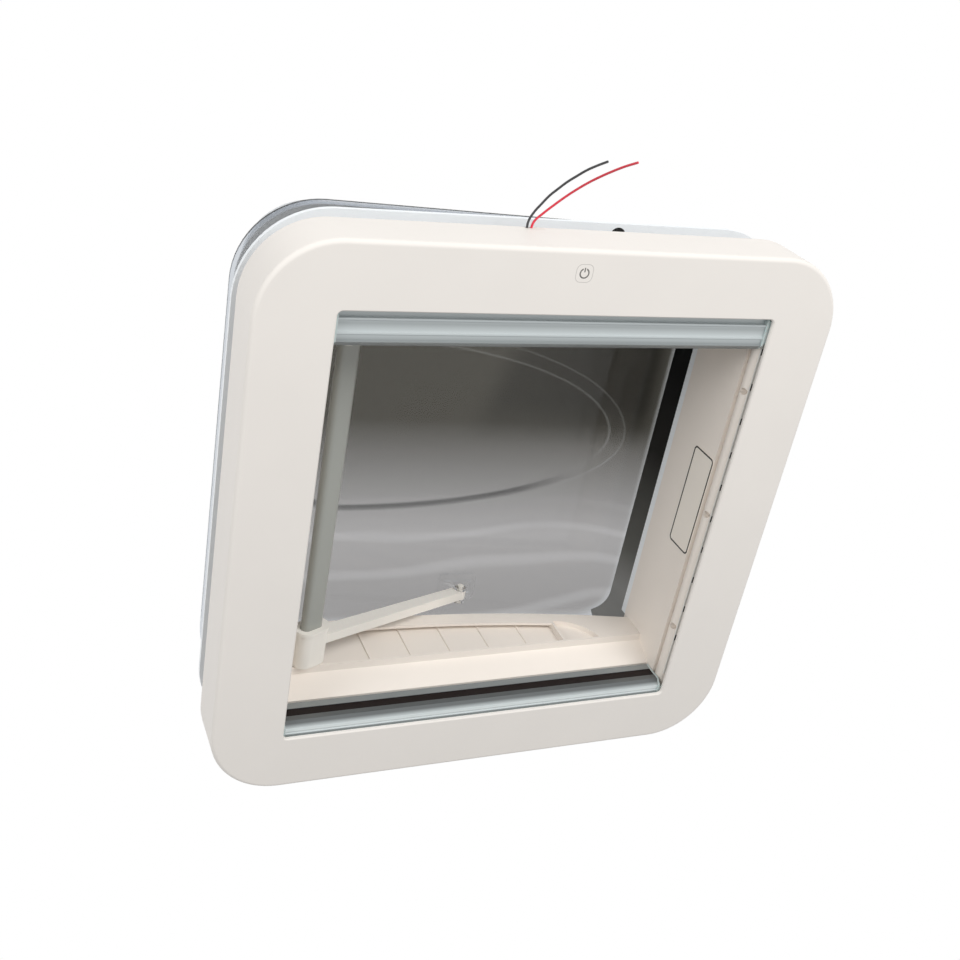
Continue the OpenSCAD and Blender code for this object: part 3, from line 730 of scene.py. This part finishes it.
def row_of(name, values):
    """A plain mesh of a row made by the row tree, whose inputs get the values."""
    tree = row_along_y()
    carrier = add_object(name + "_row", bpy.data.meshes.new(name + "_row"))
    modifier = carrier.modifiers.new("row", "NODES")
    modifier.node_group = tree
    sockets = {item.name: item.identifier for item in tree.interface.items_tree if item.in_out == "INPUT"}
    for socket, value in values.items():
        modifier[sockets[socket]] = value
    graph = bpy.context.evaluated_depsgraph_get()
    mesh = bpy.data.meshes.new_from_object(carrier.evaluated_get(graph))
    if not mesh.polygons:
        raise RuntimeError(f"the row {name} came out empty")
    bpy.data.objects.remove(carrier)
    mesh.name = name
    return mesh


def joined(name, meshes):
    """One object from several plain meshes."""
    bm = bmesh.new()
    for mesh in meshes:
        bm.from_mesh(mesh)
    whole = piece_from(name, bm)
    for material in meshes[0].materials:
        whole.data.materials.append(material)
    return whole


CAMERA_RIGHT = Vector((0.91394831, -0.17257029, -0.36731184))
CAMERA_UP = Vector((0.03514675, -0.86802834, 0.49526913))
CAMERA_PLACE = Vector((-0.4357, -0.4958, -0.7517))
CAMERA_LENS, CAMERA_SENSOR = 46.635, 36.0
# Name, place and size in metres, and power in watts of each lamp
LAMPS = (
    ("key", (0.6, -1.45, -0.95), 1.0, 20.5),
    ("fill", (-1.5, -0.9, -0.6), 0.8, 12.0),
    ("overhead", (0.3, 0.4, 1.9), 1.8, 22.0),
)
LAMP_AIM = Vector((0.0, 0.0, 0.05))
WORLD_LIGHT = 0.45
FLOOR_HALF, FLOOR_DROP = 6.0, 2.0 * MM


def add_camera(scene):
    """Makes the camera that looks up at the vent."""
    data = bpy.data.cameras.new("camera")
    data.sensor_width = CAMERA_SENSOR
    data.lens = CAMERA_LENS
    data.clip_start = 10.0 * MM
    camera = bpy.data.objects.new("camera", data)
    scene.collection.objects.link(camera)
    turn = Matrix((CAMERA_RIGHT, CAMERA_UP, CAMERA_RIGHT.cross(CAMERA_UP))).transposed().to_4x4()
    camera.matrix_world = Matrix.Translation(CAMERA_PLACE) @ turn
    scene.camera = camera


def add_lamps(scene):
    """Makes the soft lamps, which mirrors and glass don't show."""
    for name, place, size, power in LAMPS:
        data = bpy.data.lights.new(name, "AREA")
        data.size = size
        data.energy = power
        lamp = bpy.data.objects.new(name, data)
        scene.collection.objects.link(lamp)
        lamp.location = place
        lamp.rotation_euler = (LAMP_AIM - Vector(place)).to_track_quat("-Z", "Y").to_euler()
        lamp.visible_glossy = False
        lamp.visible_transmission = False


def light_world(scene):
    """Makes a white world that lights the vent at a lower level than it shows."""
    world = bpy.data.worlds.new("studio")
    scene.world = world
    world.use_nodes = True
    tree = world.node_tree
    seen = tree.nodes["Background"]
    white = (1.0, 1.0, 1.0, 1.0)
    seen.inputs["Color"].default_value = white
    lit = add_node(tree, "ShaderNodeBackground", {"Color": white, "Strength": WORLD_LIGHT})
    path = tree.nodes.new("ShaderNodeLightPath").outputs
    direct = math_node(tree, "MAXIMUM", path["Is Camera Ray"], path["Is Glossy Ray"])
    direct = math_node(tree, "MAXIMUM", direct, path["Is Transmission Ray"])
    choose = add_node(tree, "ShaderNodeMixShader", {0: direct, 1: lit.outputs[0], 2: seen.outputs[0]})
    tree.links.new(choose.outputs[0], tree.nodes["World Output"].inputs["Surface"])


def lay_floor():
    """Makes the pale floor, which can be looked through from below."""
    bm = bmesh.new()
    bmesh.ops.create_grid(bm, x_segments=1, y_segments=1, size=FLOOR_HALF)
    floor = piece_from("floor", bm)
    floor.data.transform(Matrix.Translation((0.0, 0.0, -FLOOR_DROP)))
    pale = Finish("pale_floor", Roughness=0.9, Base_Color=(0.93, 0.93, 0.93, 1.0))
    under = pale.put("ShaderNodeBsdfTransparent")
    back = pale.put("ShaderNodeNewGeometry").outputs["Backfacing"]
    side = pale.put("ShaderNodeMixShader", {0: back, 1: pale.shader.outputs[0], 2: under.outputs[0]})
    pale.links.new(side.outputs[0], pale.tree.nodes["Material Output"].inputs["Surface"])
    dress(floor, pale)
    for ray in ("visible_diffuse", "visible_glossy", "visible_transmission", "visible_shadow"):
        setattr(floor, ray, False)


class VENT_OT_stage(bpy.types.Operator):
    """Makes the floor, the lamps, the world and the camera"""

    bl_idname = "vent.stage"
    bl_label = "Stage"

    def execute(self, context):
        context.scene.view_settings.view_transform = "Standard"
        add_camera(context.scene)
        add_lamps(context.scene)
        light_world(context.scene)
        lay_floor()
        return {"FINISHED"}


class VENT_OT_leads(bpy.types.Operator):
    """Makes the black and the red supply lead along their routes"""

    bl_idname = "vent.leads"
    bl_label = "Supply leads"

    routes = {
        "black": (
            (-30.5, -238.5, 42.5), (-29.5, -243, 44), (-26.5, -250, 44), (-22.5, -257, 42.5),
            (-18.5, -264, 40.5), (-14.5, -270.5, 37), (-11, -277, 32.5), (-7.5, -283.5, 26.5),
            (-4.5, -290, 19.5), (-2, -296, 11), (0, -302, 1),
        ),
        "red": (
            (-27, -238.5, 42.5), (-25, -243, 44), (-19, -249.5, 44), (-12.5, -256.5, 42.5),
            (-6, -263.5, 40.5), (0, -270.5, 37), (6, -277.5, 32.5), (11, -284, 26.5),
            (16, -290.5, 19.5), (20.5, -297, 11), (24, -303, 1),
        ),
    }

    def execute(self, context):
        sizes = context.scene.vent_sizes
        sheaths = {"black": srgb(58, 58, 60), "red": srgb(216, 54, 72)}
        for name, route in self.routes.items():
            curve = bpy.data.curves.new(f"{name}_lead", "CURVE")
            curve.dimensions = "3D"
            curve.bevel_depth = sizes.lead_diameter / 2
            curve.bevel_resolution = 3
            curve.resolution_u = 6
            curve.use_fill_caps = True
            spline = curve.splines.new("BEZIER")
            spline.bezier_points.add(len(route) - 1)
            for knot, point in zip(spline.bezier_points, route):
                knot.co = Vector(point) * MM
                knot.handle_left_type = knot.handle_right_type = "AUTO"
            lead = bpy.data.objects.new(f"{name}_lead", curve)
            context.scene.collection.objects.link(lead)
            dress(lead, rubber(f"{name}_sheath", sheaths[name], 0.4))
            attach(lead, "frame")
            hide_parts(f"lead_{name}")
        return {"FINISHED"}


class VENT_OT_mouldings(bpy.types.Operator):
    """Finishes the trim, the liner, the rails, the cassettes and the roof frame"""

    bl_idname = "vent.mouldings"
    bl_label = "Mouldings"

    def execute(self, context):
        colours = context.scene.vent_colours
        trim = moulded("trim_moulding", colours.trim, 0.46)
        low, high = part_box("touch_board")
        middle = (low + high) / 2
        power_mark(trim, (middle.x, middle.y))
        finish_nodes(trim, "trim_frame")
        inside = moulded("liner_moulding", colours.liner, 0.42)
        finish_nodes(inside, "liner_frame", "side_rail_left", "side_rail_right")
        through = moulded("roof_frame_moulding", colours.liner, 0.4)
        # Painted light: outside the spigot and on the raised hinge wall, the cream turns to the brighter,
        # cooler roof frame white
        spigot, frame_top, hinge_wall = 197.0 * MM, 88.2 * MM, 179.8 * MM
        place = through.axes()
        reach = [through.math("ABSOLUTE", place[axis]) for axis in ("X", "Y")]
        outside = through.math("GREATER_THAN", through.math("MAXIMUM", *reach), spigot)
        raised = through.math("GREATER_THAN", place["Z"], frame_top)
        hinged = through.math("GREATER_THAN", place["X"], hinge_wall)
        painted_light_mask = through.math("MAXIMUM", outside, through.math("MULTIPLY", raised, hinged))
        through.into("Base Color", through.mix(painted_light_mask, through.colour, colours.roof_frame))
        finish_nodes(through, "roof_frame")
        channel = moulded("cassette_channel", srgb(222, 222, 219), 0.55)
        finish_nodes(channel, "blackout_cassette", "screen_cassette")
        finish_nodes(moulded("touch_board", srgb(36, 92, 52), 0.45), "touch_board")
        return {"FINISHED"}


class VENT_OT_dome(bpy.types.Operator):
    """Makes the smoked dome and its inner pane, and finishes hinges, brackets and seal"""

    bl_idname = "vent.dome"
    bl_label = "Dome"

    def execute(self, context):
        colours = context.scene.vent_colours
        sizes = context.scene.vent_sizes
        sheet, rise = sizes.dome_sheet, sizes.field_height
        shell = mesh_piece("smoked_dome", lambda bm: build_dome_shell(bm, sheet, rise), smooth_below=35.0)
        dress(shell, smoked("smoked_acrylic", colours.smoke_dark, colours.smoke_light, colours.smoke_rim))
        open_dome(shell)
        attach(shell, "dome")
        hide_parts("dome_outer")
        pane = mesh_piece("inner_pane", build_pane, smooth_below=35.0)
        clear = clear_plastic("clear_acrylic", 5.0, 0.05, Roughness=0.02, IOR=1.2)
        clear.set(Base_Color=(0.89, 0.89, 0.88, 1.0))
        dress(pane, clear)
        open_dome(pane)
        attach(pane, "dome")
        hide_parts("dome_inner")
        bond = mesh_piece("rim_bond", build_bond)
        dress(bond, moulded("bonded_rim", srgb(240, 243, 248), 0.3))
        open_dome(bond)
        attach(bond, "dome")
        bracket = clear_plastic("bracket_plastic", 60.0, 0.1, Roughness=0.06, IOR=1.22)
        bracket.set(Base_Color=(0.98, 0.98, 0.98, 1.0))
        finish_nodes(bracket, "dome_bracket_front", "dome_bracket_rear")
        steel = plated_metal("plated_steel", srgb(205, 206, 208), 0.3)
        finish_nodes(steel, "hinge_leaf_front", "hinge_leaf_rear", "hinge_pins", "clamp_screws")
        black = rubber("black_rubber", srgb(28, 28, 29), 0.6)
        finish_nodes(black, "dome_seal", "flange_plug")
        gaiter = rubber("gaiter_rubber", srgb(58, 59, 57), 0.45)
        gaiter.set(Specular_IOR_Level=0.12)
        # Painted light: near black towards -Y and grey towards +Y, for shade and highlight along the gaiter
        painted_light_run = gaiter.span(gaiter.axes()["Y"], -90.0 * MM, 170.0 * MM)
        stops = [(0.0, srgb(3, 4, 3)), (0.33, srgb(36, 35, 33))]
        stops += [(0.75, srgb(104, 104, 100)), (0.92, srgb(156, 156, 154))]
        gaiter.into("Base Color", gaiter.ramp(painted_light_run, stops))
        finish_nodes(gaiter, "hinge_gaiter")
        finish_nodes(rubber("grommet_rubber", srgb(232, 227, 220), 0.6), "lead_grommet")
        return {"FINISHED"}


class VENT_OT_bail(bpy.types.Operator):
    """Finishes the bail's bar, corners, arms and pins"""

    bl_idname = "vent.bail"
    bl_label = "Bail"

    def execute(self, context):
        colours = context.scene.vent_colours
        ivory = moulded("bail_ivory", colours.bail, 0.34, grain=1200.0, depth=0.06)
        for side in ("front", "rear"):
            finish_nodes(ivory, f"bail_corner_{side}", f"bail_arm_{side}")
        finish_nodes(ivory, "bail_pins")
        paint = moulded("bail_bar_paint", colours.bail_bar, 0.4, grain=2200.0, depth=0.08)
        paint.set(Coat_Weight=0.2, Coat_Roughness=0.25)
        finish_nodes(paint, "bail_bar")
        return {"FINISHED"}


class VENT_OT_blinds(bpy.types.Operator):
    """Makes the pleated cloths and finishes the pull bars, caps and magnet strips"""

    bl_idname = "vent.blinds"
    bl_label = "Blinds"

    def execute(self, context):
        colours = context.scene.vent_colours
        sizes = context.scene.vent_sizes
        # Distance from the meeting face in millimetres, and the share of the bar's colour there, for painted
        # highlights and painted shade
        painted_light_bands = {
            "blackout": ((2.0, 0.27), (4.5, 1.0), (5.0, 1.55), (8.0, 1.55), (10.0, 1.2)),
            "screen": ((0.0, 0.4), (6.0, 0.65), (12.5, 1.2), (18.5, 0.75), (22.5, 1.0)),
        }
        caps = Finish("milky_cap", Roughness=0.25)
        caps.set(Subsurface_Weight=0.3, Subsurface_Radius=(4.0 * MM, 6.0 * MM, 6.0 * MM))
        grains = caps.put("ShaderNodeGroup", {"Vector": caps.place}, node_tree=moulded_grain())
        caps.into("Base Color", caps.mix(grains.outputs["Mottle"], scaled(colours.caps, 0.94), colours.caps))
        magnet = rubber("magnet_rubber", colours.magnet, 0.5)
        magnet.set(Specular_IOR_Level=0.2)
        for blind in ("blackout", "screen"):
            low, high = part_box(f"{blind}_bar")
            faces = (low.y, high.y) if blind == "blackout" else (high.y, low.y)
            bar = ridged_metal(f"{blind}_aluminium", colours.bars, 0.34, faces, painted_light_bands[blind])
            finish_nodes(bar, f"{blind}_bar")
            finish_nodes(caps, f"{blind}_caps")
            finish_nodes(magnet, f"{blind}_magnet")
        finishes = {
            "blackout": cloth("blackout_cloth", colours.blackout, 700.0),
            "screen": cloth("flyscreen_mesh", colours.flyscreen, 500.0),
        }
        for blind, finish in finishes.items():
            node = f"{blind}_pleats"
            low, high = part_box(node)
            fixed, moving = (high.y, low.y) if blind == "blackout" else (low.y, high.y)
            section = zigzag(fixed, moving, low.z + 0.3 * MM, high.z - 0.3 * MM, sizes.folds)
            pleats, run = folded_cloth(f"{blind}_cloth", section, high.x - 0.5 * MM)
            dress(pleats, finish)
            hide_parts(node)
            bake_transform(pleats)
        return {"FINISHED"}


def make_screws(sizes):
    """Makes a row of screws in each side rail."""
    coat = moulded("screw_coat", srgb(224, 215, 204), 0.36, grain=2500.0)
    low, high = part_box("rail_screws")
    seat, head_radius, head_height = 186.0 * MM, 2.8 * MM, 1.8 * MM
    cross, shank = (1.7 * MM, 0.45 * MM), (1.5 * MM, high.x - seat)
    screw = mesh_piece("screw", lambda bm: build_screw(bm, head_radius, head_height, cross, shank))
    row = {"Piece": screw, "Count": 3, "Pitch": sizes.screw_pitch, "Finish": coat.material}
    rows = []
    for side in (-1, 1):
        row["First"] = (side * seat, -sizes.screw_pitch, (low.z + high.z) / 2)
        row["Turn"] = (0.0, -side * math.pi / 2, 0.0)
        rows.append(row_of("rail_screw", row))
    screws = joined("cross_head_screws", rows)
    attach(screws, "frame")
    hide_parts("rail_screws")
    bpy.data.objects.remove(screw)


def make_lights(sizes):
    """Finishes the light strips, and makes a row of lights on each."""
    strip_finish = moulded("light_strip", srgb(236, 235, 230), 0.5)
    chip_finish = moulded("light_chip", srgb(40, 40, 40), 0.3, grain=2500.0)
    chip_width, chip_height, chip_edge = 2.5 * MM, 0.5 * MM, 0.15 * MM
    chip_inset, row_shift = 1.7 * MM, 14.0 * MM

    def build_chip(bm):
        made = bmesh.ops.create_cube(bm, size=1.0)
        for vertex in made["verts"]:
            x, y, z = vertex.co
            vertex.co = (x * chip_width, y * sizes.chip_length, (z - 0.5) * chip_height)
        bmesh.ops.bevel(bm, geom=bm.edges[:], offset=chip_edge, segments=2, affect="EDGES")

    chip = mesh_piece("chip", build_chip)
    row = {"Piece": chip, "Count": sizes.chips, "Pitch": sizes.chip_pitch, "Turn": (0.0, 0.0, 0.0)}
    row["Finish"] = chip_finish.material
    half_row = sizes.chip_pitch * (sizes.chips - 1) / 2
    rows = []
    for name in ("left", "right"):
        node = f"led_strip_{name}"
        finish_nodes(strip_finish, node)
        low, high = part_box(node)
        inner = low.x + chip_inset if name == "right" else high.x - chip_inset
        row["First"] = (inner, -half_row - row_shift, low.z)
        rows.append(row_of("chip", row))
    chips = joined("light_chips", rows)
    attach(chips, "frame")
    bpy.data.objects.remove(chip)


def finish_plate():
    """Finishes the bare plate with a thin outline."""
    plate = moulded("bare_plate", srgb(247, 240, 230), 0.4)
    low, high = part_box("label_plate")
    border, corner, line = 0.9 * MM, 3.4 * MM, 1.5 * MM
    centre = ((low + high) / 2).yz
    half = [way / 2 - border for way in (high - low).yz]
    outline = rounded_frame(plate, centre, half, corner, ("Y", "Z"))
    plate.into("Base Color", plate.mix(line_mask(plate, outline, line), plate.colour, srgb(34, 32, 30)))
    finish_nodes(plate, "label_plate")


class VENT_OT_small_parts(bpy.types.Operator):
    """Makes the rail screws and the lights, and finishes the strips and the bare plate"""

    bl_idname = "vent.small_parts"
    bl_label = "Screws, lights and plate"

    def execute(self, context):
        sizes = context.scene.vent_sizes
        make_screws(sizes)
        make_lights(sizes)
        finish_plate()
        return {"FINISHED"}


class VENT_PT_panel(bpy.types.Panel):
    """Lists the vent's sizes, colours and steps"""

    bl_label = "Roof Vent"
    bl_idname = "VENT_PT_panel"
    bl_space_type = "VIEW_3D"
    bl_region_type = "UI"
    bl_category = "Roof Vent"

    def draw(self, context):
        layout = self.layout
        for group in (context.scene.vent_sizes, context.scene.vent_colours):
            column = layout.column(align=True)
            for name in group.bl_rna.properties.keys():
                if name not in ("rna_type", "name"):
                    column.prop(group, name)
        for step in STEPS:
            layout.operator(step.bl_idname)


STEPS = (
    VENT_OT_stage,
    VENT_OT_leads,
    VENT_OT_mouldings,
    VENT_OT_dome,
    VENT_OT_bail,
    VENT_OT_blinds,
    VENT_OT_small_parts,
)
CLASSES = (VentColours, VentSizes, *STEPS, VENT_PT_panel)


def register():
    """Adds the classes and the scene's settings."""
    for cls in CLASSES:
        bpy.utils.register_class(cls)
    bpy.types.Scene.vent_colours = bpy.props.PointerProperty(type=VentColours)
    bpy.types.Scene.vent_sizes = bpy.props.PointerProperty(type=VentSizes)


def unregister():
    """Takes the classes and the scene's settings away."""
    del bpy.types.Scene.vent_sizes
    del bpy.types.Scene.vent_colours
    for cls in reversed(CLASSES):
        bpy.utils.unregister_class(cls)


def main():
    """Dresses the vent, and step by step."""
    register()
    for step in STEPS:
        space, name = step.bl_idname.split(".")
        getattr(getattr(bpy.ops, space), name)()


if __name__ == "__main__":
    main()
